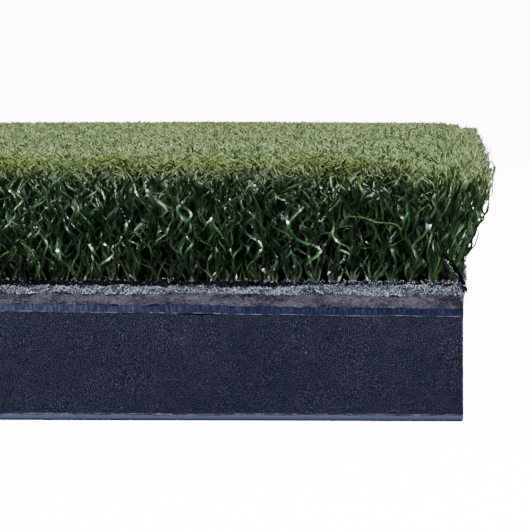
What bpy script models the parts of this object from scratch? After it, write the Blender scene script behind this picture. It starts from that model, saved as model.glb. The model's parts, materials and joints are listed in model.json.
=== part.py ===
"""Golf hitting mat, 12 x 24 in, in metres with +Z up and the origin at the centre of its underside.

The mat is a laminate: a foam core between two skins, each stuck on by a film of adhesive, and above
them a felt, a latex precoat and the primary backing. Rows of turf yarn are stitched through the
primary backing, along Y. Each row's back stitch lies in the precoat, so it can't be pulled out, and
its pile stands on the other side, where the rows lean into one another and spill over the edges.
"""

from math import cos, floor, pi, sin

import bpy

# Overall sizes: width along X, length along Y
WIDTH = 0.305
LENGTH = 0.610
PILE_HEIGHT = 0.0186

# Thickness of each layer, from the floor up
BOTTOM_SKIN = 0.0009
LOWER_BOND_FILM = 0.0002
FOAM_CORE = 0.0153
UPPER_BOND_FILM = 0.0002
TOP_SKIN = 0.0008
FELT = 0.0011
PRECOAT = 0.0014
PRIMARY_BACKING = 0.0004

# Space left between pieces that touch
GAP = 0.0003

# Tufting: rows of yarn along Y, one row at each needle of the machine
GAUGE = 0.003175
ROW_MARGIN = 0.0012
ROOT_WIDTH = 0.0013
BLOOM_HEIGHT = 0.0084
YARN_THROAT = 0.0005
STITCH_WIDTH = 0.0017
STITCH_HEIGHT = 0.0005
STITCH_CHAMFER = 0.0003
SELVEDGE = 0.006

# The pile spreads past the cut edge: share of its height, share of the spread
PILE_SPREAD = 0.005
PILE_OUTLINE = [(0.0, 0.0), (0.25, 0.1), (0.5, 0.4), (0.7, 0.78), (0.85, 1.0), (0.95, 0.85), (1.0, 0.5)]
PILE_CORNER = 0.002
CORNER_STEPS = 4

# Rounding of the underside's edge, and how far a cutter runs past what it cuts
HEEL = 0.00035
OVERRUN = 0.001

STACK = [
    ("bottom_skin", BOTTOM_SKIN),
    ("lower_bond_film", LOWER_BOND_FILM),
    ("foam_core", FOAM_CORE),
    ("upper_bond_film", UPPER_BOND_FILM),
    ("top_skin", TOP_SKIN),
    ("felt", FELT),
    ("precoat", PRECOAT),
    ("primary_backing", PRIMARY_BACKING),
    ("tufted_yarn", PILE_HEIGHT),
]

# Linear base colour and roughness of each piece
FINISHES = {
    "bottom_skin": ((0.065, 0.085, 0.15), 0.45),
    "lower_bond_film": ((0.1, 0.11, 0.16), 0.4),
    "foam_core": ((0.02, 0.021, 0.038), 0.85),
    "upper_bond_film": ((0.06, 0.07, 0.12), 0.4),
    "top_skin": ((0.022, 0.026, 0.06), 0.6),
    "felt": ((0.09, 0.09, 0.12), 0.95),
    "precoat": ((0.17, 0.18, 0.22), 0.9),
    "primary_backing": ((0.01, 0.01, 0.017), 0.7),
    "tufted_yarn": ((0.03, 0.085, 0.025), 0.45),
}


def stack_levels():
    """Lowest and highest Z of each layer, each a gap above the one below it."""
    levels = {}
    floor_z = 0.0
    for name, thickness in STACK:
        levels[name] = (floor_z, floor_z + thickness)
        floor_z += thickness + GAP
    return levels


def row_places():
    """X of each row of tufts, evenly about the middle of the mat."""
    count = floor((WIDTH - 2 * ROW_MARGIN) / GAUGE) + 1
    return [(i - (count - 1) / 2) * GAUGE for i in range(count)]


def add_object(name, points, faces):
    mesh = bpy.data.meshes.new(name)
    mesh.from_pydata(points, [], faces)
    mesh.validate()
    made = bpy.data.objects.new(name, mesh)
    bpy.context.scene.collection.objects.link(made)
    return made


def rectangle(half_x, half_y):
    """The four corners of a rectangle about Z, anticlockwise."""
    return [(half_x, -half_y), (half_x, half_y), (-half_x, half_y), (-half_x, -half_y)]


def rounded_rectangle(half_x, half_y, radius):
    """A rectangle about Z with its corners turned on arcs, anticlockwise."""
    points = []
    for turn, (side_x, side_y) in enumerate([(1, -1), (1, 1), (-1, 1), (-1, -1)]):
        for step in range(CORNER_STEPS + 1):
            angle = (turn - 1 + step / CORNER_STEPS) * pi / 2
            x = side_x * (half_x - radius) + radius * cos(angle)
            y = side_y * (half_y - radius) + radius * sin(angle)
            points.append((x, y))
    return points


def lofted(name, rings):
    """A closed body through (z, outline) rings of equal point count, from the bottom up."""
    count = len(rings[0][1])
    points = [(x, y, z) for z, outline in rings for x, y in outline]
    faces = [tuple(reversed(range(count))), tuple(range(len(points) - count, len(points)))]
    for ring in range(len(rings) - 1):
        for i in range(count):
            a = ring * count + i
            b = ring * count + (i + 1) % count
            faces.append((a, b, b + count, a + count))
    return add_object(name, points, faces)


def bars(name, profile, half_length, places):
    """One closed bar along Y at each X in places, all of one (x, z) profile, anticlockwise seen from -Y."""
    points = []
    faces = []
    count = len(profile)
    for place in places:
        first = len(points)
        for y in (half_length, -half_length):
            points += [(place + x, y, z) for x, z in profile]
        faces.append(tuple(first + i for i in reversed(range(count))))
        faces.append(tuple(first + count + i for i in range(count)))
        for i in range(count):
            a = first + i
            b = first + (i + 1) % count
            faces.append((a, b, b + count, a + count))
    return add_object(name, points, faces)


def block_profile(half_width, low, high):
    """An upright rectangle."""
    return [(-half_width, low), (half_width, low), (half_width, high), (-half_width, high)]


def stitch_profile(half_width, low, high, shoulder):
    """A flat bar with its two lower edges bevelled, from the shoulder down."""
    inset = half_width - STITCH_CHAMFER
    return [
        (-inset, low),
        (inset, low),
        (half_width, shoulder),
        (half_width, high),
        (-half_width, high),
        (-half_width, shoulder),
    ]


def combine(body, other, operation):
    """A Boolean modifier on body; other becomes a hidden guide."""
    modifier = body.modifiers.new(other.name, "BOOLEAN")
    modifier.operation = operation
    modifier.object = other
    other.hide_render = True
    other.display_type = "WIRE"


def make_layer(name, low, high):
    outline = rectangle(WIDTH / 2, LENGTH / 2)
    return lofted(name, [(low, outline), (high, outline)])


def make_bottom_skin(low, high):
    heel = rectangle(WIDTH / 2 - HEEL, LENGTH / 2 - HEEL)
    outline = rectangle(WIDTH / 2, LENGTH / 2)
    return lofted("bottom_skin", [(low, heel), (low + HEEL, outline), (high, outline)])


def make_precoat(low, high, stitch_low, rows):
    """A slab with one channel in its top for each row's back stitch."""
    precoat = make_layer("precoat", low, high)
    profile = stitch_profile(
        STITCH_WIDTH / 2 + GAP, stitch_low - GAP, high + OVERRUN, stitch_low + STITCH_CHAMFER - GAP
    )
    combine(precoat, bars("stitch_channels", profile, LENGTH / 2 + OVERRUN, rows), "DIFFERENCE")
    return precoat


def make_primary_backing(low, high, rows):
    """A thin cloth with one slit for each row, closed at both ends by a selvedge."""
    backing = make_layer("primary_backing", low, high)
    profile = block_profile(YARN_THROAT / 2 + GAP, low - OVERRUN, high + OVERRUN)
    combine(backing, bars("needle_slits", profile, LENGTH / 2 - SELVEDGE + GAP, rows), "DIFFERENCE")
    return backing


def make_tufted_yarn(low, high, stitch_low, stitch_high, rows):
    """The pile above the backing, the yarn's throat through each slit, and each row's back stitch."""
    outer_row = rows[-1] + ROOT_WIDTH / 2
    rings = []
    for height_share, spread_share in PILE_OUTLINE:
        spread = PILE_SPREAD * spread_share
        half_x = WIDTH / 2 if height_share else outer_row
        outline = rounded_rectangle(half_x + spread, LENGTH / 2 + spread, PILE_CORNER + spread)
        rings.append((low + (high - low) * height_share, outline))
    yarn = lofted("tufted_yarn", rings)

    # The space between two rows' roots narrows to nothing where the pile closes up
    root_space = GAUGE / 2 - ROOT_WIDTH / 2
    widening = OVERRUN * root_space / BLOOM_HEIGHT
    wedge = [
        (-root_space - widening, low - OVERRUN),
        (root_space + widening, low - OVERRUN),
        (0.0, low + BLOOM_HEIGHT),
    ]
    between_rows = [x + GAUGE / 2 for x in rows[:-1]]
    half_spread = LENGTH / 2 + PILE_SPREAD + OVERRUN
    combine(yarn, bars("root_spaces", wedge, half_spread, between_rows), "DIFFERENCE")

    throat = block_profile(YARN_THROAT / 2, stitch_high - STITCH_HEIGHT / 2, low + OVERRUN)
    combine(yarn, bars("yarn_throats", throat, LENGTH / 2 - SELVEDGE, rows), "UNION")
    stitch = stitch_profile(STITCH_WIDTH / 2, stitch_low, stitch_high, stitch_low + STITCH_CHAMFER)
    combine(yarn, bars("back_stitches", stitch, LENGTH / 2, rows), "UNION")
    return yarn


def finish(piece):
    """The piece's own material."""
    colour, roughness = FINISHES[piece.name]
    material = bpy.data.materials.new(piece.name)
    material.use_nodes = True
    shader = material.node_tree.nodes["Principled BSDF"]
    shader.inputs["Base Color"].default_value = (*colour, 1.0)
    shader.inputs["Roughness"].default_value = roughness
    shader.inputs["Metallic"].default_value = 0.0
    piece.data.materials.append(material)


def main():
    for old in list(bpy.data.objects):
        bpy.data.objects.remove(old)

    levels = stack_levels()
    rows = row_places()
    stitch_high = levels["primary_backing"][0] - GAP
    stitch_low = stitch_high - STITCH_HEIGHT

    pieces = [make_bottom_skin(*levels["bottom_skin"])]
    for name in ("lower_bond_film", "foam_core", "upper_bond_film", "top_skin", "felt"):
        pieces.append(make_layer(name, *levels[name]))
    pieces.append(make_precoat(*levels["precoat"], stitch_low, rows))
    pieces.append(make_primary_backing(*levels["primary_backing"], rows))
    pieces.append(make_tufted_yarn(*levels["tufted_yarn"], stitch_low, stitch_high, rows))
    for piece in pieces:
        finish(piece)


main()
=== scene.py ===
import json
import math

import bpy
import numpy as np
from mathutils import Matrix, Vector


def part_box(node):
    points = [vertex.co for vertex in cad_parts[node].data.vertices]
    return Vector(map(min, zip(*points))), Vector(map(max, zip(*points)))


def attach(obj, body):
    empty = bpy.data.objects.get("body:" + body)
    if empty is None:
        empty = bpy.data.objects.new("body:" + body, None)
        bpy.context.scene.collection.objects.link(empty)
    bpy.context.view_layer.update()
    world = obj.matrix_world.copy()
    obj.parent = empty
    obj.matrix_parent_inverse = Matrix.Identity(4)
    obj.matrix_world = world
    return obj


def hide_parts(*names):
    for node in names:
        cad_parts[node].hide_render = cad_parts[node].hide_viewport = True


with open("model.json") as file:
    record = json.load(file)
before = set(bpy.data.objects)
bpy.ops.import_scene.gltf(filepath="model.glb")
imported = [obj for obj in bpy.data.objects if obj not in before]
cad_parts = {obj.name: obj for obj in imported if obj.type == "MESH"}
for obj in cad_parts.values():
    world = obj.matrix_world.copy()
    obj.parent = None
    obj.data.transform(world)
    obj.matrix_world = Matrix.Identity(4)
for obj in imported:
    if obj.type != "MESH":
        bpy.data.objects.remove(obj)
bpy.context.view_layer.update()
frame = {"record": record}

# --- Studio --------------------------------------------------------------------------------------
# The camera stands a little above the pile, straight in front of the mat's front right corner, and
# frames the last 75 mm of the front edge. The walls and the floor are white. One broad lamp hangs
# overhead, and four smaller ones stand in front, to the left, to the right and behind.

foam_low, foam_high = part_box("foam_core")
LEFT, FRONT = foam_low.x, foam_low.y
RIGHT, BACK = foam_high.x, foam_high.y
WIDTH, LENGTH = RIGHT - LEFT, BACK - FRONT

CORNER = Vector((RIGHT, FRONT, 0.03))
FRAME_WIDTH = 0.0843
EYE_DISTANCE = 0.5
EYE_HEIGHT = 0.0529
EYE_FROM_CORNER = 0.0004
AIM_HEIGHT = 0.02496
AIM_FROM_CORNER = 0.03148
ROLL = math.radians(-0.2)

eye = Vector((RIGHT - EYE_FROM_CORNER, FRONT - EYE_DISTANCE, EYE_HEIGHT))
aim = Vector((RIGHT - AIM_FROM_CORNER, FRONT, AIM_HEIGHT))
camera = bpy.data.objects.new("camera", bpy.data.cameras.new("camera"))
bpy.context.scene.collection.objects.link(camera)
camera.matrix_world = (
    Matrix.Translation(eye)
    @ (aim - eye).to_track_quat("-Z", "Y").to_matrix().to_4x4()
    @ Matrix.Rotation(ROLL, 4, "Z")
)
camera.data.lens = camera.data.sensor_width * (aim - eye).length / FRAME_WIDTH
camera.data.clip_end = 100.0
bpy.context.scene.camera = camera


def add_lamp(name, place, target, size, power, colour):
    """A square area lamp at place, facing target."""
    lamp = bpy.data.objects.new(name, bpy.data.lights.new(name, "AREA"))
    lamp.data.size = size
    lamp.data.energy = power
    lamp.data.color = colour
    lamp.location = place
    lamp.rotation_euler = (Vector(target) - Vector(place)).to_track_quat("-Z", "Y").to_euler()
    lamp.visible_camera = False
    bpy.context.scene.collection.objects.link(lamp)


class Wire:
    """A value on its way through one material: sums and products of it are worked out there."""

    def __init__(self, tree, socket=None):
        self.tree = tree
        self.socket = socket

    def node(self, kind, settings=None, sockets=None, output=0):
        """Adds a node: first its settings, with a ramp's stops, then each socket's value or wire."""
        made = self.tree.nodes.new(kind)
        for key, value in (settings or {}).items():
            if key != "stops":
                setattr(made, key, value)
                continue
            ramp = made.color_ramp
            while len(ramp.elements) < len(value):
                ramp.elements.new(1.0)
            for element, (position, colour) in zip(ramp.elements, value):
                element.position = position
                element.color = colour
        for key, value in (sockets or {}).items():
            if isinstance(value, Wire):
                self.tree.links.new(value.socket, made.inputs[key])
            else:
                made.inputs[key].default_value = value
        return Wire(self.tree, made.outputs[output])

    def maths(self, operation, *values):
        return self.node("ShaderNodeMath", {"operation": operation}, dict(enumerate(values)))

    def __add__(self, other):
        return self.maths("ADD", self, other)

    def __sub__(self, other):
        return self.maths("SUBTRACT", self, other)

    def __rsub__(self, other):
        return self.maths("SUBTRACT", other, self)

    def __mul__(self, other):
        return self.maths("MULTIPLY", self, other)

    __radd__ = __add__
    __rmul__ = __mul__

    def between(self, low, high):
        """0 where this value is low and 1 where it is high, smoothly."""
        settings = {"interpolation_type": "SMOOTHSTEP"}
        sockets = {"Value": self, "From Min": low, "From Max": high}
        return self.node("ShaderNodeMapRange", settings, sockets)

    def mix(self, low, high):
        """The colour low where this value is 0, and high where it is 1."""
        return self.node("ShaderNodeMix", {"data_type": "RGBA"}, {0: self, 6: low, 7: high}, output=2)

    def noise(self, scale, detail=2.0, roughness=0.5):
        """Perlin noise on this vector, from 0 to 1, with scale cells in each metre."""
        sockets = {"Vector": self, "Scale": scale, "Detail": detail, "Roughness": roughness}
        return self.node("ShaderNodeTexNoise", {}, sockets)

    def stretched(self, x, y, z):
        """This vector with each of its parts scaled."""
        return self.node("ShaderNodeMapping", {}, {"Vector": self, "Scale": (x, y, z)})


# Walls and floor are seen as SEEN_WHITE. What they shed on the mat is much dimmer: from WALLS_BELOW
# under the horizon to WALLS_ABOVE overhead, and nothing from the floor.
WALLS_BELOW = (0.05, 0.06, 0.08, 1.0)
WALLS_ABOVE = (0.30, 0.36, 0.45, 1.0)
SEEN_WHITE = 12.0

world = bpy.data.worlds.new("studio_walls")
world.use_nodes = True
walls = Wire(world.node_tree)
way = walls.node("ShaderNodeTexCoord")
height = way.node("ShaderNodeSeparateXYZ", {}, {"Vector": way}, output=2)
glow = height.between(-0.3, 0.6).mix(WALLS_BELOW, WALLS_ABOVE)
seen = walls.node("ShaderNodeLightPath")
colour = seen.mix(glow, (SEEN_WHITE, SEEN_WHITE, SEEN_WHITE, 1.0))
world.node_tree.links.new(colour.socket, world.node_tree.nodes["Background"].inputs["Color"])
bpy.context.scene.world = world
add_lamp("overhead", (0.2, -0.1, 1.6), (0.1, -0.28, 0.04), 0.7, 24.0, (1.0, 0.97, 0.9))
add_lamp("high_front", (0.3, -1.4, 1.75), (0.1, FRONT, 0.02), 0.3, 84.0, (0.96, 0.97, 1.0))
add_lamp("low_left", (-0.7, -1.5, 0.8), (0.1, FRONT, 0.03), 0.3, 12.0, (0.94, 0.97, 1.0))
add_lamp("right_side", (1.3, -0.2, 0.5), CORNER, 0.4, 50.0, (1.0, 1.0, 0.97))
add_lamp("back_fill", (-0.6, 1.5, 0.7), (-0.1, BACK, 0.02), 0.5, 16.0, (0.96, 0.98, 1.0))

HALF_FLOOR = 30.0
FLOOR_LEVEL = -0.0001
floor_corners = [(-1, -1), (1, -1), (1, 1), (-1, 1)]
floor_points = [(x * HALF_FLOOR, y * HALF_FLOOR, FLOOR_LEVEL) for x, y in floor_corners]
floor_mesh = bpy.data.meshes.new("floor")
floor_mesh.from_pydata(floor_points, [], [(0, 1, 2, 3)])
floor_paint = bpy.data.materials.new("floor_paint")
floor_paint.use_nodes = True
shader = floor_paint.node_tree.nodes["Principled BSDF"]
shader.inputs["Base Color"].default_value = (0.9, 0.9, 0.9, 1.0)
shader.inputs["Roughness"].default_value = 0.9
shader.inputs["Specular IOR Level"].default_value = 0.1
shader.inputs["Emission Color"].default_value = (1.0, 1.0, 1.0, 1.0)
shader.inputs["Emission Strength"].default_value = SEEN_WHITE
floor_mesh.materials.append(floor_paint)
floor = bpy.data.objects.new("floor", floor_mesh)
bpy.context.scene.collection.objects.link(floor)
floor.visible_diffuse = False
floor.visible_glossy = False

# --- Bottom skin ---------------------------------------------------------------------------------
# A smooth anti-slip film of rubber, bonded under the foam. It is trimmed with the foam by one long
# blade, which leaves fine upright marks on the cut, and its lower edge is slightly rounded.

SAG = 0.00095
SAG_REACH = 0.08
RIPPLE_WAVES = 14
RAGGED_WAVE = 0.0016
CAP_COLUMNS = 2


def from_corner(x, y):
    """How far a point is from the nearest corner of the mat: the root of the two distances squared."""
    across = np.minimum(x - LEFT, RIGHT - x)
    along = np.minimum(y - FRONT, BACK - y)
    return np.hypot(across, along)


def sag(x, y):
    """How far the foam sinks near a corner: SAG there, falling in a line to 0 at SAG_REACH."""
    return SAG * np.clip(1.0 - from_corner(x, y) / SAG_REACH, 0.0, 1.0)


def ripple(points, wavelength, seed):
    """Smooth noise of about unit spread: the sum of cosines in random directions, each of a
    wavelength from 0.7 to 1.5 times the one given."""
    rng = np.random.default_rng(seed)
    total = np.zeros(len(points))
    for direction in rng.normal(size=(RIPPLE_WAVES, 3)):
        direction /= np.linalg.norm(direction) * wavelength * rng.uniform(0.7, 1.5)
        total += np.cos(2 * np.pi * (points @ direction) + rng.uniform(0, 2 * np.pi))
    return total * math.sqrt(2.0 / RIPPLE_WAVES)


def boundary(height, sinks, wave, wavelength, seed, ragged=0.0):
    """The surface between two layers: its height, less the share of the sag, plus a ripple and, where
    ragged, a finer one."""

    def surface(x, y):
        flat = np.column_stack([x, y, np.zeros(len(x))])
        uneven = wave * ripple(flat, wavelength, seed) + ragged * ripple(flat, RAGGED_WAVE, seed + 100)
        return height - sinks * sag(x, y) + uneven

    return surface


def rim(spacing):
    """The cut edge as a ring of points from the front left corner, anticlockwise, with the outward
    direction at each: every side is divided evenly, and a corner points along both its sides."""
    across = CAP_COLUMNS * round(WIDTH / spacing / CAP_COLUMNS)
    along = round(LENGTH / spacing)
    u = np.arange(across) / across
    v = np.arange(along) / along
    x = [LEFT + WIDTH * u, np.full(along, RIGHT), RIGHT - WIDTH * u, np.full(along, LEFT)]
    y = [np.full(across, FRONT), FRONT + LENGTH * v, np.full(across, BACK), BACK - LENGTH * v]
    out_x = [u * 0, v * 0 + 1, u * 0, v * 0 - 1]
    out_y = [u * 0 - 1, v * 0, u * 0 + 1, v * 0]
    x, y, out_x, out_y = (np.concatenate(side) for side in (x, y, out_x, out_y))
    corners = [0, across, across + along, 2 * across + along]
    out_x[corners] = [-1, 1, 1, -1]
    out_y[corners] = [-1, -1, 1, 1]
    return x, y, out_x, out_y, across, along


def cap(ring, inner, across, along):
    """Faces that close a ring, facing up: quads in columns from one long side to the other, and one
    many-sided face for each column at either end."""
    right = ring[across : across + along + 1]
    left = np.append(ring[2 * across + along :], ring[0])[::-1]
    grid = np.column_stack([left[1:along], inner, right[1:along]])
    quads = np.stack([grid[:-1, :-1], grid[:-1, 1:], grid[1:, 1:], grid[1:, :-1]], axis=-1)
    step = across // CAP_COLUMNS
    back = ring[across + along : 2 * across + along + 1][::-1]
    ends = []
    for column in range(CAP_COLUMNS):
        span = slice(column * step, (column + 1) * step + 1)
        ends.append(np.concatenate([ring[span], [grid[0, column + 1], grid[0, column]]]))
        ends.append(np.concatenate([back[span][::-1], [grid[-1, column], grid[-1, column + 1]]]))
    return [quads.reshape(-1, 4), np.array(ends)]


def cut_layer(low, high, spacing, levels, relief):
    """A layer of the laminate as one closed surface: a wall that runs round the rim from the low
    surface to the high one, pushed outwards by relief at each point, and a cap over each end."""
    x, y, out_x, out_y, across, along = rim(spacing)
    count = len(x)
    share = np.linspace(0, 1, levels + 1)[:, None]
    z = low(x, y) * (1 - share) + high(x, y) * share
    wall = np.stack([np.broadcast_to(x, z.shape), np.broadcast_to(y, z.shape), z], axis=-1)
    push = relief(wall.reshape(-1, 3), np.repeat(share[:, 0], count)).reshape(z.shape)
    wall[..., 0] += out_x * push
    wall[..., 1] += out_y * push

    column_x = LEFT + WIDTH * np.arange(1, CAP_COLUMNS) / CAP_COLUMNS
    row_y = FRONT + LENGTH * np.arange(1, along) / along
    inner_y, inner_x = (a.ravel() for a in np.meshgrid(row_y, column_x, indexing="ij"))
    inside = [np.column_stack([inner_x, inner_y, face(inner_x, inner_y)]) for face in (low, high)]
    points = np.concatenate([wall.reshape(-1, 3), *inside])

    ring = np.arange(count)
    first = ring + np.arange(levels)[:, None] * count
    second = np.roll(ring, -1) + np.arange(levels)[:, None] * count
    sides = np.stack([first, second, second + count, first + count], axis=-1).reshape(-1, 4)
    inner = (levels + 1) * count + np.arange(len(inner_x)).reshape(along - 1, CAP_COLUMNS - 1)
    floor_faces = [face[:, ::-1] for face in cap(ring, inner, across, along)]
    roof_faces = cap(ring + levels * count, inner + len(inner_x), across, along)
    return points, [sides, *floor_faces, *roof_faces]


def add_piece(name, points, face_groups, material, slot, stands_for, crease=math.radians(50)):
    """Puts arrays of points and of equal-sided faces into a mesh, as a piece that rides the mat."""
    sizes = np.concatenate([np.full(len(faces), faces.shape[1]) for faces in face_groups])
    corners = np.concatenate([faces.ravel() for faces in face_groups])
    mesh = bpy.data.meshes.new(name)
    mesh.vertices.add(len(points))
    mesh.vertices.foreach_set("co", np.ascontiguousarray(points, np.float32).ravel())
    mesh.loops.add(len(corners))
    mesh.loops.foreach_set("vertex_index", corners.astype(np.int32))
    mesh.polygons.add(len(sizes))
    mesh.polygons.foreach_set("loop_start", np.append(0, np.cumsum(sizes)[:-1]).astype(np.int32))
    mesh.polygons.foreach_set("use_smooth", np.ones(len(sizes), bool))
    mesh.update(calc_edges=True)
    mesh.materials.append(material)
    if crease:
        mesh.set_sharp_from_angle(angle=crease)
    piece = bpy.data.objects.new(name, mesh)
    bpy.context.scene.collection.objects.link(piece)
    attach(piece, "root")
    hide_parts(stands_for)
    return piece


def linear(red, green, blue):
    """Linear RGBA of a colour given in the eight-bit steps of a paint chart."""
    share = np.array([red, green, blue]) / 255.0
    value = np.where(share > 0.04045, ((share + 0.055) / 1.055) ** 2.4, share / 12.92)
    return (*(float(v) for v in value), 1.0)


def new_material(name, roughness, specular):
    """A Principled material of constant gloss: it, its shader, and its Object coordinates."""
    material = bpy.data.materials.new(name)
    material.use_nodes = True
    shader = material.node_tree.nodes["Principled BSDF"]
    shader.inputs["Roughness"].default_value = roughness
    shader.inputs["Specular IOR Level"].default_value = specular
    place = Wire(material.node_tree).node("ShaderNodeTexCoord", output=3)
    return material, shader, place


def dress(shader, colour, height=None, depth=0.0001, roughness=None):
    """Links a colour, and where given a bump of that depth in metres and a roughness, to the shader."""
    colour.tree.links.new(colour.socket, shader.inputs["Base Color"])
    if roughness:
        colour.tree.links.new(roughness.socket, shader.inputs["Roughness"])
    if height:
        bump = height.node("ShaderNodeBump", {}, {"Height": height, "Distance": depth})
        colour.tree.links.new(bump.socket, shader.inputs["Normal"])


def upright_share(place, low, high):
    """Height on the mat as a share of the way from low to high."""
    z = place.node("ShaderNodeSeparateXYZ", {}, {"Vector": place}, output=2)
    return z.node("ShaderNodeMapRange", {}, {"Value": z, "From Min": low, "From Max": high})


SKIN_TOP = 0.00105
SKIN_HEEL = 0.0002

skin_low = boundary(0.0, 0.0, 0.0, 0.02, 1)
skin_high = boundary(SKIN_TOP, 0.0, 0.00003, 0.012, 2)


def skin_relief(points, share):
    """Upright knife marks, and a heel rounded off on a quarter circle."""
    marks = 0.00002 * ripple(points * [1, 1, 0.05], 0.0018, 3)
    heel = np.clip(1 - share * SKIN_TOP / SKIN_HEEL, 0, 1)
    return marks - SKIN_HEEL * (1 - np.sqrt(1 - heel**2))


skin_film, shader, place = new_material("skin_film", 0.5, 0.3)
rise = upright_share(place, 0.0, SKIN_TOP)
band = rise.node(
    "ShaderNodeValToRGB",
    {
        "stops": [
            (0.0, linear(40, 47, 92)),
            (0.3, linear(56, 62, 94)),
            (0.7, linear(78, 82, 104)),
            (1.0, linear(88, 91, 110)),
        ]
    },
    {"Fac": rise},
)
marks = place.stretched(1.0, 1.0, 0.12).noise(3600.0, detail=3.0)
colour = (marks.between(0.4, 0.75) * 0.6).mix(band, linear(52, 60, 96))
dress(shader, colour, marks, 0.00003)
shape = cut_layer(skin_low, skin_high, 0.0008, 5, skin_relief)
add_piece("bottom_skin_film", *shape, skin_film, "skin_film", "bottom_skin")

# --- Lower bond film -----------------------------------------------------------------------------
# The film of clear adhesive that holds the skin to the foam. The blade draws it out into a pale,
# broken line that stands a little proud of the cut.

LINE = 0.00016

foam_bottom = boundary(SKIN_TOP + LINE, 0.0, 0.00003, 0.012, 2)


def line_relief(points, share):
    """The film stands a little proud of the cut, here more and there less."""
    return 0.00005 + 0.00002 * ripple(points, 0.0025, 4)


bond_film, shader, place = new_material("bond_film", 0.45, 0.4)
paler = place.stretched(1.0, 1.0, 0.3).noise(900.0, detail=4.0)
colour = paler.between(0.4, 0.68).mix(linear(36, 39, 58), linear(100, 103, 118))
dress(shader, colour)
shape = cut_layer(skin_high, foam_bottom, 0.0008, 1, line_relief)
add_piece("lower_bond_line", *shape, bond_film, "bond_film", "lower_bond_film")

# --- Foam core -----------------------------------------------------------------------------------
# Closed-cell foam, dyed dark navy and bonded to the sheets below and above. On the cut its cells
# show as fine dark and light specks. It is pressed a little thinner at the corners.

FOAM_TOP = 0.0176

foam_top = boundary(FOAM_TOP, 1.0, 0.00005, 0.009, 5)


def foam_relief(points, share):
    """A slight waviness left by the blade."""
    return 0.00002 * ripple(points * [1, 1, 0.6], 0.006, 6) + 0.00001 * ripple(points, 0.0022, 7)


foam, shader, place = new_material("closed_cell_foam", 0.95, 0.06)
cells = place.noise(6200.0, detail=2.0, roughness=0.6)
patches = place.noise(700.0, detail=5.0, roughness=0.7)
specks = place.noise(2600.0, detail=2.0).between(0.66, 0.78)
broad = place.noise(70.0, detail=2.0).between(0.3, 0.7)
worked = upright_share(place, SKIN_TOP, FOAM_TOP).between(0.45, 1.0)
dark = patches.between(0.35, 0.65).mix(linear(21, 26, 44), linear(36, 34, 50))
mottled = cells.between(0.32, 0.56).mix(linear(9, 10, 21), dark)
lit = cells.between(0.5, 0.74) * (0.45 + broad * 0.4 + worked * 0.4)
light = lit.mix(mottled, linear(92, 91, 110))
colour = (specks * (0.5 + worked * 0.5)).mix(light, linear(126, 124, 140))
dress(shader, colour, cells, 0.00008)
shape = cut_layer(foam_bottom, foam_top, 0.0008, 12, foam_relief)
core = add_piece("foam_pad", *shape, foam, "closed_cell_foam", "foam_core")

# --- Upper bond film -----------------------------------------------------------------------------
# The same adhesive on top of the foam, where it holds the facing sheet. Its line sinks with the foam
# towards the corners.

facing_bottom = boundary(FOAM_TOP + LINE, 1.0, 0.00005, 0.009, 5)
shape = cut_layer(foam_top, facing_bottom, 0.0008, 1, line_relief)
add_piece("upper_bond_line", *shape, bond_film, "bond_film", "upper_bond_film")

# --- Top skin ------------------------------------------------------------------------------------
# A dense dark blue foam sheet, bonded over the core, that spreads the load on it. The blade tears
# its cut upright. Its colour is paler towards the middle of the short sides and darkens over the
# 45 mm next to each long side.

FACING_TOP = 0.01895

facing_top = boundary(FACING_TOP, 1.0, 0.00006, 0.007, 8, ragged=0.00005)


def facing_relief(points, share):
    """Shallow tears, drawn out upright by the blade."""
    return 0.00005 * ripple(points * [1, 1, 0.4], 0.0016, 9)


facing, shader, place = new_material("facing_foam", 0.8, 0.15)
streaks = place.stretched(1.0, 1.0, 0.25).noise(2800.0, detail=4.0, roughness=0.6)
across = place.node("ShaderNodeSeparateXYZ", {}, {"Vector": place})
# Paler towards the middle of the short sides, darker within 45 mm of the long ones.
away_from_corner = (across.maths("ABSOLUTE", across) + place.noise(40.0) * 0.05).between(0.15, 0.105)
tone = away_from_corner.mix(linear(22, 24, 54), linear(46, 50, 76))
lit = (streaks.between(0.46, 0.72) * (0.4 + away_from_corner * 0.6)).mix(tone, linear(80, 84, 108))
colour = streaks.between(0.3, 0.44).mix(linear(12, 13, 32), lit)
dress(shader, colour, streaks, 0.0001)
shape = cut_layer(facing_bottom, facing_top, 0.0006, 3, facing_relief)
add_piece("facing_sheet", *shape, facing, "facing_foam", "top_skin")

# --- Felt ----------------------------------------------------------------------------------------
# Needled felt of mixed grey and brown waste fibre, laid between the facing sheet and the turf. Its
# cut edge is furred.

FELT_TOP = 0.0206
TURF_SAG = 0.6

felt_top = boundary(FELT_TOP, TURF_SAG, 0.0001, 0.005, 10, ragged=0.00009)


def felt_relief(points, share):
    """A furred edge: three sizes of lump."""
    lumps = 0.00005 * ripple(points, 0.0035, 11) + 0.00004 * ripple(points, 0.0013, 12)
    return lumps + 0.00005 * ripple(points * [1, 1, 1.5], 0.0007, 13)


felt, shader, place = new_material("needled_felt", 1.0, 0.05)
fur = place.stretched(0.6, 0.6, 1.4).noise(4200.0, detail=4.0, roughness=0.7)
tone = place.stretched(0.5, 0.5, 1.5).noise(420.0, detail=3.0)
ground = tone.between(0.38, 0.62).mix(linear(56, 52, 64), linear(88, 83, 97))
light = fur.between(0.5, 0.72).mix(ground, linear(124, 119, 134))
colour = fur.between(0.34, 0.46).mix(linear(30, 28, 38), light)
dress(shader, colour, fur, 0.0002)
shape = cut_layer(facing_top, felt_top, 0.0004, 4, felt_relief)
sheet = add_piece("felt_sheet", *shape, felt, "needled_felt", "felt")

# --- Precoat -------------------------------------------------------------------------------------
# Chalk-filled latex, poured over the back of the stitches to lock them. The blade breaks it up, and
# grey crumbs cling to the cut, most of all at the corners.

PRECOAT_TOP = 0.0219
FURRED = 0.032
SWELLING = 0.00045

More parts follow.
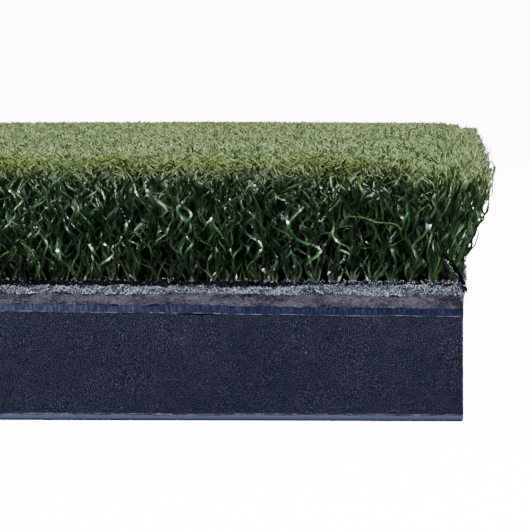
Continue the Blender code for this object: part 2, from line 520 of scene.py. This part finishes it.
coat_level = boundary(PRECOAT_TOP, TURF_SAG, 0.00011, 0.004, 14, ragged=0.00009)


def smooth_coat(x, y):
    """The coat's height without its ripples: its top less its share of the sag."""
    return PRECOAT_TOP - TURF_SAG * sag(x, y)


def near_corner(x, y):
    """1 over most of the furred stretch at each corner, falling to 0 at its end."""
    return np.clip((1 - from_corner(x, y) / FURRED) * 2.5, 0, 1)


def precoat_top(x, y):
    """Near the corners the crumbled coat swells up over the edge of the cloth."""
    return coat_level(x, y) + SWELLING * near_corner(x, y)


def precoat_relief(points, share):
    """Crumbs with sharp hollows between them: the folded values of two ripples."""
    crumbs = np.abs(ripple(points, 0.0011, 15)) - np.abs(ripple(points, 0.0016, 16))
    return 0.00012 * crumbs + 0.0001 * ripple(points, 0.004, 17)


latex, shader, place = new_material("latex_precoat", 0.9, 0.15)
grain = place.noise(5200.0, detail=3.0, roughness=0.6)
tone = place.noise(700.0, detail=2.0).between(0.35, 0.65)
tone = tone.mix(linear(88, 93, 110), linear(134, 139, 156))
light = grain.between(0.53, 0.64).mix(tone, linear(222, 227, 238))
colour = grain.between(0.42, 0.5).mix(linear(10, 12, 22), light)
dress(shader, colour, grain, 0.0003)
shape = cut_layer(felt_top, precoat_top, 0.0003, 5, precoat_relief)
add_piece("latex_coat", *shape, latex, "latex_precoat", "precoat")

CRUMB_RADIUS = 0.00013
CRUMBS_PER_METRE = 4500
SPECKS_PER_METRE = 1600
CORNER_CRUMBS_PER_METRE = 9000
CRUMB_DEPTH = 0.0013
CRUMB_BAND = 0.0014
CORNER_CLIMB = 0.001
SPECK_RISE = 0.0009
RIM_LENGTH = 2 * (WIDTH + LENGTH)


def along_rim(count, rng):
    """Random places on the cut edge: x, y and the outward direction of each."""
    x, y, out_x, out_y, _, _ = rim(0.0001)
    pick = rng.integers(0, len(x), count)
    size = np.maximum(np.hypot(out_x[pick], out_y[pick]), 1e-9)
    return x[pick], y[pick], out_x[pick] / size, out_y[pick] / size


def lumps(places, radii, rng):
    """A small octahedron at each place, its six points each pushed in or out by up to 40%."""
    poles = np.array([(1, 0, 0), (0, 1, 0), (-1, 0, 0), (0, -1, 0), (0, 0, 1), (0, 0, -1)], float)
    faces = np.array(
        [(0, 1, 4), (1, 2, 4), (2, 3, 4), (3, 0, 4), (1, 0, 5), (2, 1, 5), (3, 2, 5), (0, 3, 5)]
    )
    uneven = radii[:, None] * rng.uniform(0.6, 1.4, (len(places), 6))
    points = places[:, None, :] + poles * uneven[..., None]
    every = faces + 6 * np.arange(len(places))[:, None, None]
    return points.reshape(-1, 3), every.reshape(-1, 3)


rng = np.random.default_rng(20)
count = round(CRUMBS_PER_METRE * RIM_LENGTH)
x, y, out_x, out_y = along_rim(count, rng)
proud = rng.uniform(-0.0001, 0.00028, count)
band = CRUMB_BAND + CORNER_CLIMB * near_corner(x, y)
z = smooth_coat(x, y) - CRUMB_DEPTH + rng.random(count) ** 0.7 * band
places = np.column_stack([x + out_x * proud, y + out_y * proud, z])
radii = CRUMB_RADIUS * rng.uniform(0.5, 1.5, count)

count = round(SPECKS_PER_METRE * RIM_LENGTH)
x, y, out_x, out_y = along_rim(count, rng)
proud = rng.uniform(0.0001, 0.0006, count)
z = smooth_coat(x, y) + rng.normal(SPECK_RISE, 0.00015, count)
places = np.concatenate([places, np.column_stack([x + out_x * proud, y + out_y * proud, z])])
radii = np.concatenate([radii, CRUMB_RADIUS * rng.uniform(0.6, 1.5, count)])

x, y, out_x, out_y = along_rim(round(CORNER_CRUMBS_PER_METRE * RIM_LENGTH), rng)
kept = near_corner(x, y) > rng.random(len(x))
x, y, out_x, out_y = x[kept], y[kept], out_x[kept], out_y[kept]
proud = rng.uniform(0.0001, 0.0005, len(x))
z = smooth_coat(x, y) + rng.uniform(0.0, 0.0012, len(x))
places = np.concatenate([places, np.column_stack([x + out_x * proud, y + out_y * proud, z])])
radii = np.concatenate([radii, CRUMB_RADIUS * rng.uniform(0.5, 1.2, len(x))])
points, faces = lumps(places, radii, rng)
add_piece("latex_crumbs", points, [faces], latex, "latex_precoat", "precoat", crease=None)

# --- Primary backing -----------------------------------------------------------------------------
# Black woven polypropylene tape, the cloth that the yarn is stitched through, held by the latex
# under it. Its cut tapes end in the edge.

BACKING_TOP = 0.02255
CLOTH_LEAST = 0.0001

cloth_level = boundary(BACKING_TOP, TURF_SAG, 0.00007, 0.004, 18, ragged=0.00005)


def backing_top(x, y):
    """The cloth stays above the coat, however far that has swollen."""
    return np.maximum(cloth_level(x, y), precoat_top(x, y) + CLOTH_LEAST)


def backing_relief(points, share):
    """Tape ends, 1.3 mm apart."""
    return 0.00008 * ripple(points, 0.0013, 19) + 0.00003


tape, shader, place = new_material("woven_backing", 0.7, 0.06)
ends = place.noise(2600.0, detail=2.0)
colour = ends.between(0.6, 0.72).mix(linear(8, 9, 14), linear(92, 98, 112))
dress(shader, colour, ends, 0.0001)
shape = cut_layer(precoat_top, backing_top, 0.0004, 2, backing_relief)
sheet = add_piece("backing_cloth", *shape, tape, "woven_backing", "primary_backing")

# --- Pile ----------------------------------------------------------------------------------------
# Crimped flat nylon yarn, stitched in rows along the mat, eight to the inch both ways, and sheared
# level. Each tuft opens into a brush of curled ribbons, and the outer ones lean out over the cut.
# The tips are yellow-green along the front edge and give way within 15 stitches to paler ones,
# whose paleness is painted sheen. The colours also paint the pile's light and shade: dark deep
# within it, lit at the cut and at the tips, whose yellow-green is partly the yarn's own.

MEAN_TIP = frame["record"]["mounts"][1]["pos_m"][2]
PILE_TOP = MEAN_TIP + 0.0003
GAUGE = 0.003175
COLUMNS = int(WIDTH / GAUGE)
ROWS = int(LENGTH / GAUGE)
SPREAD = 0.0072
SPREAD_REACH = 0.005
SHOULDER = 0.0028
SHOULDER_REACH = 0.0035
STITCH_SCATTER_X = 0.00008
STITCH_SCATTER_Y = 0.0002
ROOT_SCATTER = 0.0003
ROOT_DEPTH = 0.0002
TIP_SCATTER = 0.55
SHADES = 32
LIT_ROW = 0.0025
HALF_LIT_ROW = 0.0055
HALF_LIT_SHARE = 0.35
ROUNDING = 0.0001
WILD_SHARE = 0.22
WILD_WANDER = 1.9
TIP_CURL = 0.6
SHORT_SHARE = 0.12
SHORT_BY = (0.001, 0.005)
THICKET_SCATTER = 2.4
SIDE_WANDER = 0.65
SIDE_INSET = 0.008


def wandering(count, steps, start, wander, rng):
    """Crimped paths of unit height that start and end on the Z axis. At each step a path heads along
    (a, b, c): a and b are sums of four sine waves, the first three small at the root and the last
    only at the tip, and c, the climb, falls off at the tip. The steps are added up, the drift from
    start to end is taken off, and the height is made 1, or less where a path hardly climbs."""
    share = start + (1 - start) * (np.arange(steps) + 0.5) / steps
    tip = np.clip((share - 0.8) / 0.2, 0, 1) ** 1.5
    rooted = 0.4 + 0.6 * np.minimum(share * 3.0, 1.0)
    cycles = rng.uniform([0.6, 1.8, 4.0, 8.0], [1.5, 3.4, 6.0, 12.0], (count, 4))
    size = rng.uniform(0.3, 1.0, (count, 4, 2)) * [[0.6], [1.05], [0.45], [1.1]]
    size *= wander[:, None, None]
    phase = rng.uniform(0, 2 * np.pi, (count, 4, 2))
    angle = 2 * np.pi * cycles[:, :, None, None] * share[:, None] + phase[:, :, None, :]
    strength = np.stack([rooted, rooted, rooted, tip])[..., None]
    slope = (np.sin(angle) * strength * size[:, :, None, :]).sum(axis=1)
    climb = 1 - rng.uniform(0, TIP_CURL, (count, 1)) * tip
    heading = np.concatenate([slope, climb[..., None]], axis=-1)
    heading /= np.linalg.norm(heading, axis=-1, keepdims=True)
    path = np.concatenate([np.zeros((count, 1, 3)), np.cumsum(heading, axis=1)], axis=1)
    along = np.linspace(0, 1, steps + 1)[:, None]
    height = np.maximum(path[:, -1:, 2:], 0.3 * steps)
    path[..., :2] -= along * path[:, -1:, :2]
    return path / height


def stretched_between(paths, roots, tips, bend):
    """Unit paths fitted between roots and tips: scaled by the height, and sheared to lean by the
    share of the height to the power of bend."""
    reach = (tips - roots)[:, None, :]
    along = np.linspace(0, 1, paths.shape[1])
    fitted = paths * reach[..., 2:]
    fitted[..., :2] += (along ** bend[:, None])[..., None] * reach[..., :2]
    return roots[:, None, :] + fitted


def ribbons(paths, widths, low, high, outer, rng):
    """Flat ribbons on the paths, twisting as they climb, and their map. Across the map is the shade of
    the ribbon, in the right half for an outer one, which takes the lit colours; up it is the share of
    the pile's height, from low at the root to high at the tip."""
    count, stations, _ = paths.shape
    tangent = np.gradient(paths, axis=1)
    tangent /= np.linalg.norm(tangent, axis=-1, keepdims=True)
    bearing = rng.uniform(0, 2 * np.pi, (count, 1))
    reference = np.stack([np.cos(bearing), np.sin(bearing), bearing * 0], axis=-1)
    side = np.cross(tangent, reference)
    side /= np.linalg.norm(side, axis=-1, keepdims=True)
    other = np.cross(tangent, side)
    along = np.linspace(0, 1, stations)
    rate = rng.normal(0, 3.0, (count, 1)) * (high - low)[:, None]
    swing = 0.6 * np.sin(2 * np.pi * rng.uniform(1.5, 3.5, (count, 1)) * along + bearing)
    turn = rng.uniform(0, 2 * np.pi, (count, 1)) + rate * along + swing
    across = side * np.cos(turn)[..., None] + other * np.sin(turn)[..., None]
    taper = 1 - 0.45 * np.clip((along - 0.8) / 0.2, 0, 1) ** 2
    across *= (widths[:, None] * taper / 2)[..., None]
    points = np.stack([paths - across, paths + across], axis=2)

    first = (np.arange(count) * stations)[:, None] * 2 + np.arange(stations - 1) * 2
    faces = np.stack([first, first + 1, first + 3, first + 2], axis=-1).reshape(-1, 4)
    shade = rng.integers(0, SHADES // 2, count) + outer * SHADES // 2
    u = (shade[:, None, None] + np.array([0.1, 0.9])) / SHADES
    v = 0.01 + 0.98 * (low[:, None] + (high - low)[:, None] * along)[..., None]
    spots = np.stack(np.broadcast_arrays(u, v), axis=-1)
    return points.reshape(-1, 3), faces, spots.reshape(-1, 2)


def add_yarn(name, points, faces, spots, material):
    """A piece of ribbons, with their map."""
    piece = add_piece(name, points, [faces], material, "turf_yarn", "tufted_yarn", crease=None)
    layer = piece.data.uv_layers.new(name="OFBake")
    layer.data.foreach_set("uv", spots[faces.ravel()].astype(np.float32).ravel())


def inset(x, y):
    """How far a point is from the nearest side of the mat."""
    return np.minimum(np.minimum(x - LEFT, RIGHT - x), np.minimum(y - FRONT, BACK - y))


def lean_out(x, y):
    """How far a tip leans past the side, as x and y: SPREAD at the cut, falling off within."""
    to_x = np.minimum(x - LEFT, RIGHT - x)
    to_y = np.minimum(y - FRONT, BACK - y)
    share_x = np.exp(-to_x / SPREAD_REACH)
    share_y = np.exp(-to_y / SPREAD_REACH)
    both = np.hypot(share_x, share_y) / np.maximum(share_x, share_y)
    return SPREAD * share_x / both * np.sign(x), SPREAD * share_y / both * np.sign(y)


def tip_height(x, y):
    """Height of the tips: the shorn level, less the shoulder at the cut and the sag at a corner."""
    return PILE_TOP - SHOULDER * np.exp(-inset(x, y) / SHOULDER_REACH) - sag(x, y)


def grow_tufts(columns, rows, fibres, steps, start, width, rng):
    """The ribbons of one batch of tufts. columns and rows are each tuft's place in the stitching.
    A ribbon is rooted near its stitch, or higher up where start, the share of the height that is left
    out, is over 0. Its tip lies anywhere in the tuft's own square, moved out by the lean, and about
    one in eight is cut short. Away from the corners the roots merge into one thicket."""
    count = len(columns) * fibres
    centre_x = (columns + 0.5 - COLUMNS / 2) * GAUGE
    centre_y = (rows + 0.5 - ROWS / 2) * GAUGE
    centre_x = np.repeat(centre_x, fibres) + rng.normal(0, STITCH_SCATTER_X, count)
    centre_y = np.repeat(centre_y, fibres) + rng.normal(0, STITCH_SCATTER_Y, count)
    by_side = RIGHT - np.abs(centre_x) < SIDE_INSET
    merged = np.where(by_side, 0.0, 1 - near_corner(centre_x, centre_y))
    scatter = ROOT_SCATTER * (1 + (THICKET_SCATTER - 1) * merged)
    root_x = centre_x + rng.normal(0, 1, count) * scatter
    root_y = centre_y + rng.normal(0, 1, count) * scatter
    tip_x = centre_x + rng.uniform(-TIP_SCATTER, TIP_SCATTER, count) * GAUGE
    tip_y = centre_y + rng.uniform(-TIP_SCATTER, TIP_SCATTER, count) * GAUGE
    lean_x, lean_y = lean_out(centre_x, centre_y)
    loose = rng.uniform(0.5, 1.1, count)
    tip_x += lean_x * loose
    tip_y += lean_y * loose
    root_z = backing_top(root_x, root_y) - ROOT_DEPTH
    tip_z = tip_height(centre_x, centre_y) + rng.normal(0, 0.0004 - 0.0002 * start, count)
    short = rng.random(count) < SHORT_SHARE
    tip_z -= short * rng.uniform(*SHORT_BY, count)
    roots = np.column_stack([root_x, root_y, root_z])
    tips = np.column_stack([tip_x, tip_y, tip_z])
    # How far up its colour ramp a ribbon gets: less far, the lower its tip, painting a low tip in
    # shade. By the sides and near the corners it gets further, painting those tips lighter.
    low_tip_shading = np.where(by_side, 0.3, 0.7 - 0.3 * near_corner(centre_x, centre_y))
    high = 1 - low_tip_shading * (PILE_TOP - tip_z) / (PILE_TOP - BACKING_TOP)
    high = np.clip(high + rng.normal(0, 0.04 * (1 - start), count), 0, 1)
    roots = roots + (tips - roots) * start
    bend = (rng.uniform(0.95, 1.9, count) - 0.3 * merged) ** (1 - start)
    wander = np.where(rng.random(count) < WILD_SHARE, WILD_WANDER, 1.0)
    wander = np.where(by_side, SIDE_WANDER, wander)
    paths = stretched_between(wandering(count, steps, start, wander, rng), roots, tips, bend)
    widths = width * rng.uniform(0.55, 1.25, count)
    # Only ribbons at the cut have the lit colours of the outer ramp; the rest have the painted shade of
    # the inner one.
    depth = inset(centre_x, centre_y)
    lit = np.where(depth < LIT_ROW, 1.0, np.where(depth < HALF_LIT_ROW, HALF_LIT_SHARE, 0.0))
    return ribbons(paths, widths, start * high, high, rng.random(count) < lit, rng)


def yarn_material(name, tip_variety, shaded_stops, lit_stops):
    """Nylon ribbon, its colour read off the ribbon's map: up the ribbon it follows one ramp for the
    inner ribbons, dark with painted shade, and one for the outer, lit ones; both climb from painted
    shade low down to tips that are partly painted lit. Its brightness is multiplied by 0.5 to 1.5, or
    at the tips by numbers only tip_variety apart. It is glossy below the tips, and a bump across the
    ribbon makes its flat section look rounded."""
    material, shader, place = new_material(name, 0.5, 0.5)
    shader.inputs["Specular Tint"].default_value = (0.8, 1.0, 0.7, 1.0)
    shader.inputs["Coat Roughness"].default_value = 0.25
    shader.inputs["Coat IOR"].default_value = 1.8
    spot = place.node("ShaderNodeUVMap", {"uv_map": "OFBake"})
    shade = spot.node("ShaderNodeSeparateXYZ", {}, {"Vector": spot})
    rise = spot.node("ShaderNodeSeparateXYZ", {}, {"Vector": spot}, output=1)
    inner = rise.node("ShaderNodeValToRGB", {"stops": shaded_stops}, {"Fac": rise})
    outer = rise.node("ShaderNodeValToRGB", {"stops": lit_stops}, {"Fac": rise})
    on_edge = shade.maths("GREATER_THAN", shade, 0.5)
    # Outer ribbons take the lit ramp, inner ones the ramp of painted shade.
    depth = on_edge.mix(inner, outer)
    column = shade * SHADES
    number = shade.maths("FLOOR", column)
    lot = number.node("ShaderNodeTexWhiteNoise", {"noise_dimensions": "1D"}, {"W": number})
    value = 0.5 + lot
    tip_value = 0.99 - tip_variety / 2 + lot * tip_variety
    value = value + rise.between(0.8, 1.0) * (tip_value - value)
    tint = {"Hue": 0.485 + lot * 0.03, "Saturation": 0.9 + lot * 0.2, "Value": value}
    colour = depth.node("ShaderNodeHueSaturation", {}, tint | {"Color": depth})
    from_middle = shade.maths("FRACT", column) * 2.0 - 1.0
    profile = 1.0 - from_middle * from_middle
    dress(shader, colour, profile, ROUNDING, 0.3 + 0.45 * rise.between(0.8, 1.0))
    gloss = (1.0 - rise.between(0.58, 0.9)) * (0.1 + 0.9 * on_edge)
    gloss.tree.links.new(gloss.socket, shader.inputs["Coat Weight"])
    return material


# The inner ramp is dark with painted shade, darkest deep in the pile. The outer ramp is painted lit at
# the root, dips into painted shadow at 0.84 under the overhanging tips, and climbs to yellow-green tips
# that are partly the yarn's colour and partly painted light.
nylon = yarn_material(
    "turf_yarn",
    0.55,
    [
        (0.0, linear(9, 18, 9)),
        (0.7, linear(14, 29, 13)),
        (0.87, linear(32, 50, 22)),
        (0.95, linear(67, 81, 28)),
        (1.0, linear(91, 103, 36)),
    ],
    [
        (0.0, linear(64, 86, 48)),
        (0.25, linear(54, 88, 46)),
        (0.6, linear(48, 80, 40)),
        (0.84, linear(24, 46, 18)),
        (0.95, linear(66, 80, 27)),
        (1.0, linear(91, 103, 36)),
    ],
)
# The field yarn's tips are paler and greyer than the front yarn's: painted sheen, as of pile seen far
# off. Its inner ramp is painted shade as well, lighter than the front yarn's.
field_nylon = yarn_material(
    "field_yarn",
    0.3,
    [
        (0.7, linear(34, 50, 26)),
        (0.87, linear(70, 86, 47)),
        (0.95, linear(86, 102, 61)),
        (1.0, linear(98, 112, 68)),
    ],
    [
        (0.0, linear(64, 88, 54)),
        (0.7, linear(62, 88, 52)),
        (0.87, linear(84, 103, 62)),
        (0.95, linear(97, 113, 68)),
        (1.0, linear(110, 126, 80)),
    ],
)

EDGE_ROWS = 3
NEAR_ROWS = 9
CORNER_ROWS = 12
ALL_PALE_ROWS = 15
MIDDLE_ROWS = 21
FIELD_BLOCKS = 5

columns, rows = (a.ravel() for a in np.meshgrid(np.arange(COLUMNS), np.arange(ROWS), indexing="ij"))
from_side = np.minimum(columns, COLUMNS - 1 - columns)
deep_in = np.minimum(from_side, np.minimum(rows, ROWS - 1 - rows))
left_half = columns < COLUMNS // 2
at_front = rows < EDGE_ROWS
at_back = rows >= ROWS - EDGE_ROWS
at_side = (deep_in < EDGE_ROWS) & ~at_front & ~at_back
by_corner = (from_side < EDGE_ROWS) & (rows < CORNER_ROWS)
inside = deep_in >= EDGE_ROWS
near = inside & (rows < NEAR_ROWS)
middle = inside & (rows >= NEAR_ROWS) & (rows < MIDDLE_ROWS)
# From the edge rows to the 15th, more and more tufts take the field yarn with its painted sheen.
paler_share = (rows - EDGE_ROWS) / (ALL_PALE_ROWS - EDGE_ROWS)
paler = np.random.default_rng(39).random(len(rows)) < paler_share


def add_tufts(name, chosen, seed, fibres, steps, start, width, material=nylon):
    """One piece of the chosen tufts, from the fibres in a tuft, the steps in a fibre, the share of its
    height that is left out because it can't be seen, and its width."""
    rng = np.random.default_rng(seed)
    tufts = grow_tufts(columns[chosen], rows[chosen], fibres, steps, start, width, rng)
    add_yarn(name, *tufts, material)


add_tufts("front_tufts_left", at_front & left_half, 31, 19, 24, 0.0, 0.00038)
add_tufts("front_tufts_right", at_front & ~left_half, 32, 19, 24, 0.0, 0.00038)
add_tufts("back_tufts", at_back, 33, 13, 12, 0.0, 0.0005, field_nylon)
for number, (side, half) in enumerate([("left", 0), ("left", 1), ("right", 0), ("right", 1)]):
    chosen = at_side & (left_half == (side == "left")) & (rows // (ROWS // 2) == half)
    fibres = (14, 9)[half]
    add_tufts(f"{side}_tufts_{half + 1}", chosen, 34 + number, fibres, 10, 0.0, 0.00045, field_nylon)
# The two front corners are thicker still, since the pile there is seen end-on.
add_tufts("front_corner_tufts", by_corner, 49, 10, 18, 0.0, 0.00045, field_nylon)
add_tufts("near_tufts", near & ~paler, 40, 18, 9, 0.7, 0.00032)
add_tufts("near_pale_tufts", near & paler, 47, 18, 9, 0.7, 0.00032, field_nylon)
add_tufts("middle_tufts", middle & ~paler, 41, 14, 5, 0.72, 0.0004)
add_tufts("middle_pale_tufts", middle & paler, 48, 14, 5, 0.72, 0.0004, field_nylon)
for block in range(FIELD_BLOCKS):
    first_row = MIDDLE_ROWS + (ROWS - MIDDLE_ROWS) * block // FIELD_BLOCKS
    last_row = MIDDLE_ROWS + (ROWS - MIDDLE_ROWS) * (block + 1) // FIELD_BLOCKS
    chosen = inside & (rows >= first_row) & (rows < last_row)
    add_tufts(f"field_tufts_{block + 1}", chosen, 42 + block, 9, 2, 0.72, 0.00052, field_nylon)

# --- Heart of the pile ---------------------------------------------------------------------------
# Deep in the pile the yarn is packed too tightly to see into. One dark green body stands for it,
# 9.5 mm in from the cut edges and 7 mm below the tips. Its dark green is painted shade, the shade
# deep in the pile.

HEART_INSET = 0.0095
HEART_DEPTH = 0.007

heart, shader, place = new_material("packed_yarn", 0.9, 0.1)
packed = place.noise(900.0, detail=3.0)
# Dark green: painted shade deep in the pile.
colour = packed.between(0.35, 0.7).mix(linear(14, 26, 15), linear(38, 60, 32))
dress(shader, colour, packed, 0.0006)
low = BACKING_TOP + 0.0003
high = PILE_TOP - HEART_DEPTH
across, along = WIDTH / 2 - HEART_INSET, LENGTH / 2 - HEART_INSET
corners = [(-across, -along), (across, -along), (across, along), (-across, along)]
points = np.array([(x, y, z) for z in (low, high) for x, y in corners])
faces = np.array(
    [(3, 2, 1, 0), (4, 5, 6, 7), (0, 1, 5, 4), (1, 2, 6, 5), (2, 3, 7, 6), (3, 0, 4, 7)]
)
add_piece("pile_heart", points, [faces], heart, "turf_yarn", "tufted_yarn")

# --- Loose ends ----------------------------------------------------------------------------------
# Long fine yarn ends that the blade pulled out, lying over the cut face of the pile; short grey
# hairs of the back stitches; and at the front right corner a strand of black tape, hung with crumbs.

STRAYS_PER_METRE = 220
STRAY_REACH_X = 0.002
STRAY_REACH_Y = 0.005
FRONT_BULGE = 0.24
SIDE_BULGE = 0.04
HAIRS_PER_METRE = 2600


def over_rim(x, y, out_x, out_y, sideways, outwards, height):
    """Points by the cut edge from their distances along it, out from it and up."""
    return np.stack(
        [
            x[:, None] - out_y[:, None] * sideways + out_x[:, None] * outwards,
            y[:, None] + out_x[:, None] * sideways + out_y[:, None] * outwards,
            height,
        ],
        axis=-1,
    )


def loose_paths(x, y, out_x, out_y, foot, length, slope, steps, clear, rng):
    """Paths over the cut edge: straight lines of a length and a slope, each with three sine waves
    across it, that start at height foot and keep clear of the face they lie on."""
    share = np.linspace(0, 1, steps + 1)
    waves = np.zeros((3, len(x), steps + 1))
    for cycles, size in ((0.7, 0.14), (1.6, 0.07), (3.4, 0.03)):
        phase = rng.uniform(0, 2 * np.pi, (3, len(x), 1))
        waves += size * np.sin(2 * np.pi * cycles * share + phase)
    waves *= length[:, None]
    sideways = length[:, None] * share * np.cos(slope)[:, None] + waves[0]
    height = foot[:, None] + length[:, None] * share * np.sin(slope)[:, None] + waves[1]
    above = np.maximum(height - BACKING_TOP, 0)
    bulge = np.where(np.abs(out_y) > 0.5, FRONT_BULGE, SIDE_BULGE)
    outwards = clear[:, None] + bulge[:, None] * above + 0.1 * np.abs(waves[2])
    return over_rim(x, y, out_x, out_y, sideways, outwards, height)


rng = np.random.default_rng(60)
count = round(STRAYS_PER_METRE * RIM_LENGTH)
x, y, out_x, out_y = along_rim(count, rng)
length = rng.uniform(0.005, 0.014, count)
slope = rng.uniform(-0.2, 0.9, count)
foot = BACKING_TOP + rng.uniform(0.001, 0.012, count)
clear = rng.uniform(0.0001, 0.0009, count)
paths = loose_paths(x, y, out_x, out_y, foot, length, slope, 26, clear, rng)
reach = np.abs(paths).max(axis=1)
paths = paths[(reach[:, 0] < RIGHT + STRAY_REACH_X) & (reach[:, 1] < BACK + STRAY_REACH_Y)]
count = len(paths)
widths = rng.uniform(0.00014, 0.00032, count)
# Strays take their colours from the upper part of the outer ramp, between its painted shadow under the
# tips and its painted lit tips.
bright = rng.uniform(0.86, 0.96, count)
add_yarn("stray_ends", *ribbons(paths, widths, bright - 0.02, bright, bright > 0, rng), nylon)

count = round(HAIRS_PER_METRE * RIM_LENGTH)
x, y, out_x, out_y = along_rim(count, rng)
length = rng.uniform(0.0004, 0.0012, count)
slope = rng.uniform(0, np.pi, count)
foot = smooth_coat(x, y) - rng.uniform(0.0002, 0.0015, count)
paths = loose_paths(x, y, out_x, out_y, foot, length, slope, 3, np.full(count, 0.0001), rng)
flat = np.zeros(count)
points, faces, _ = ribbons(paths, rng.uniform(0.00006, 0.00013, count), flat, flat, flat > 0, rng)
add_piece("stitch_hairs", points, [faces], latex, "latex_precoat", "precoat", crease=None)

STRAND_FOOT = np.array([RIGHT + 0.0003, FRONT - 0.0012, 0.0209])
STRAND_TIP = np.array([RIGHT - 0.0031, FRONT - 0.0042, 0.0268])
STRAND_RADIUS = 0.00045
STRAND_TAPES = 24
STRAND_CRUMBS = 26

share = np.linspace(0, 1, 21)
turns = rng.uniform(0, 2 * np.pi, (STRAND_TAPES, 1)) + rng.normal(5.0, 2.0, (STRAND_TAPES, 1)) * share
spread = STRAND_RADIUS * rng.uniform(0.2, 1.0, (STRAND_TAPES, 1)) * (1 - 0.6 * share)
bow = 0.0003 * np.sin(np.pi * share)
line = STRAND_FOOT + share[:, None] * (STRAND_TIP - STRAND_FOOT)
paths = line + np.stack(
    [spread * np.cos(turns) + bow, -spread * np.abs(np.sin(turns)), spread * np.sin(turns) + bow],
    axis=-1,
)
widths = rng.uniform(0.00025, 0.0004, STRAND_TAPES)
flat = np.zeros(STRAND_TAPES)
points, faces, _ = ribbons(paths, widths, flat, flat, flat > 0, rng)
add_piece("frayed_strand", points, [faces], tape, "woven_backing", "primary_backing", crease=None)

share = rng.uniform(0, 1, (STRAND_CRUMBS, 1))
places = STRAND_FOOT + share * (STRAND_TIP - STRAND_FOOT)
places = places + rng.normal(0, 0.00018, places.shape) + [0, -0.00055, 0]
points, faces = lumps(places, rng.uniform(0.0001, 0.00018, STRAND_CRUMBS), rng)
add_piece("strand_crumbs", points, [faces], latex, "latex_precoat", "precoat", crease=None)
